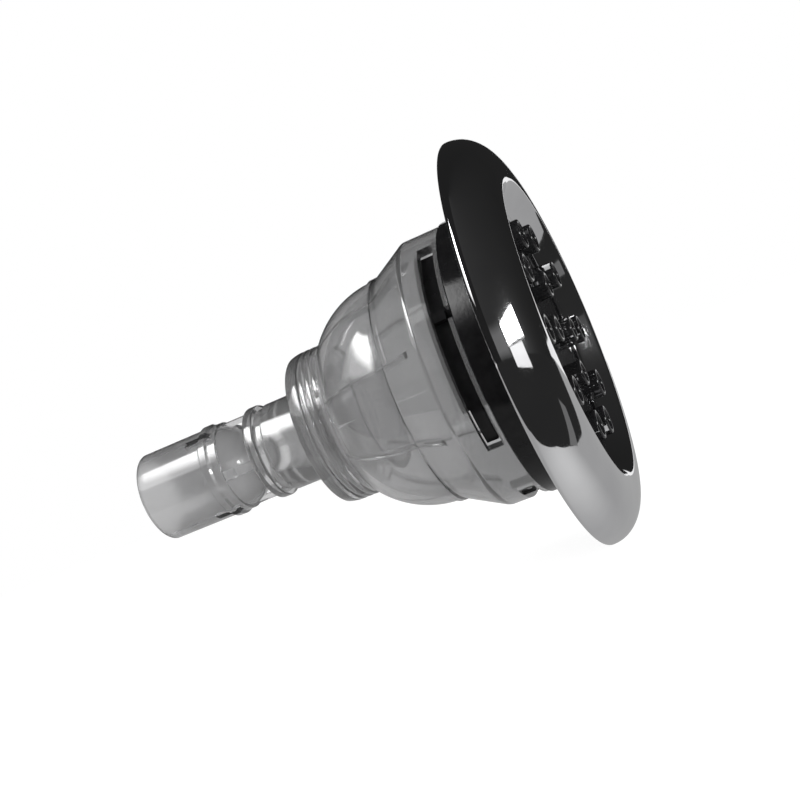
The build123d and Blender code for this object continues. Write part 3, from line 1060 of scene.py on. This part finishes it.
darkCard = cardFinish("darkCard", stage["darkTone"])
paleCard = cardFinish("paleCard", 1.0)
tree = paleCard.node_tree
place = tree.nodes.new("ShaderNodeTexCoord")
away = tree.nodes.new("ShaderNodeVectorMath")
away.operation = "DISTANCE"
away.inputs[1].default_value = (*stage["paleMiddle"], lowest)
fade = tree.nodes.new("ShaderNodeMapRange")
fade.interpolation_type = "SMOOTHSTEP"
fade.inputs["From Max"].default_value = stage["paleReach"]
fade.inputs["To Min"].default_value, fade.inputs["To Max"].default_value = stage["paleTone"]
tree.links.new(place.outputs["Object"], away.inputs[0])
tree.links.new(away.outputs["Value"], fade.inputs["Value"])
tree.links.new(fade.outputs["Result"], tree.nodes["Emission"].inputs["Strength"])
# a shell over the set: az all round, el from its lower edge up to the top
over = stage["cardShell"]
rows, cols = over["grid"]
az = np.linspace(-180, 180, cols)[None, :]
t = np.linspace(0, 1, rows)[:, None]
edge = np.radians(np.interp(az, shellEdge[:, 0], shellEdge[:, 1]))
az = np.radians(az)
el = edge + (np.pi / 2 - edge) * t
# darkest ahead of the face, a little lighter behind the camera, with a glow beside and round the window
azDeg, elDeg = np.degrees(az), np.degrees(el)
band = np.clip((elDeg + 3) / 4, 0, 1) * np.clip((15 - elDeg) / 5, 0, 1)
beside = np.clip((-141 - azDeg) / 8, 0, 1) * band
halo = np.exp(-(((azDeg + 117) / 30) ** 2) - ((elDeg - 4) / 11) ** 2)
behind = np.clip((-20 - azDeg) / 160, 0, 1)
tone = over["tone"] + over["behind"] * behind + over["beside"] * beside + over["halo"] * halo
glowCard("cardShell", "shellGlow", skyPoints(over["reach"], az, el), tone)

# two cards on the floor, dark in front of the ring and pale under it
far = stage["cardSpan"]
cardLift, stripLift = stage["cardLift"]
flatCard("cardFront", np.vstack([floorEdge, [[far, -far], [-far, -far], [-far, far]]]), cardLift, darkCard)
flatCard("cardUnder", np.vstack([floorEdge, [[far, far]]]), cardLift, paleCard)
flatCard("cardStrip", greyStrip, stripLift, cardFinish("greyCard", stage["stripTone"]))


def softBox(name, box):
    lamp = bpy.data.lights.new(name, "AREA")
    lamp.shape = "RECTANGLE"
    lamp.size, lamp.size_y = box["size"]
    lamp.energy = box["power"] * math.pi * lamp.size * lamp.size_y
    holder = bpy.data.objects.new(name, lamp)
    bpy.context.scene.collection.objects.link(holder)
    holder.location = box["place"]
    holder.rotation_euler = (Vector(box["toward"]) - holder.location).to_track_quat("-Z", "Y").to_euler()


for name in ("sideBox", "windowTop", "windowLow"):
    softBox(name, stage[name])
bpy.data.objects["sideBox"].visible_glossy = False

# the side box as mirrors see it: a patch of a sphere that brightens upwards and to the rear, with soft
# edges and one corner cut off
panel = stage["sidePanel"]
rows, cols = panel["grid"]
az = np.linspace(*panel["az"], cols)[None, :]
el = np.linspace(*panel["el"], rows)[:, None]
rise = np.clip((el + 0.49 * az - 101) / 15, 0, 1)
sides = np.minimum(az - panel["az"][0], panel["az"][1] - az) / 7
ends = np.minimum(el - panel["el"][0], panel["el"][1] - el) / 4
soft = np.clip(np.minimum(sides, ends), 0, 1) * np.clip((208 - az - el) / 8, 0, 1)
level = panel["dim"] + (panel["bright"] - panel["dim"]) * rise**2 * (3 - 2 * rise)
patch = skyPoints(panel["reach"], np.radians(az), np.radians(el)) + panel["middle"]
glowCard("sidePanel", "panelGlow", patch, level * soft)

world = bpy.data.worlds.new("paleRoom")
bpy.context.scene.world = world
world.use_nodes = True
tree = world.node_tree
backdrop = tree.nodes["Background"]
backdrop.inputs["Color"].default_value = (1, 1, 1, 1)
fill = tree.nodes.new("ShaderNodeBackground")
fill.inputs["Color"].default_value = (1, 1, 1, 1)
fill.inputs["Strength"].default_value = stage["fill"]
pick = tree.nodes.new("ShaderNodeMixShader")
tree.links.new(seenDirectly(tree), pick.inputs["Fac"])
tree.links.new(fill.outputs[0], pick.inputs[1])
tree.links.new(backdrop.outputs[0], pick.inputs[2])
tree.links.new(pick.outputs[0], tree.nodes["World Output"].inputs["Surface"])
print("stage set")

# camera at the photograph's viewing angle

view = {
    "place": (-0.36707, -0.06181, -0.000735),
    "right": (0.2556915, -0.88702598, -0.38445645),
    "up": (0.10648646, -0.36941493, 0.92314313),
    "forward": (0.9608759, 0.27697926, 0.0),
    "lens": 56.3,
    "sensor": 36.0,
}
lens = bpy.data.cameras.new("camera")
lens.sensor_width = view["sensor"]
lens.lens = view["lens"]
lens.clip_start, lens.clip_end = 0.01, 20.0
camera = bpy.data.objects.new("camera", lens)
bpy.context.scene.collection.objects.link(camera)
turn = Matrix((view["right"], view["up"], [-x for x in view["forward"]])).transposed().to_4x4()
camera.matrix_world = Matrix.Translation(view["place"]) @ turn
bpy.context.scene.camera = camera
bpy.context.scene.view_settings.view_transform = "Standard"
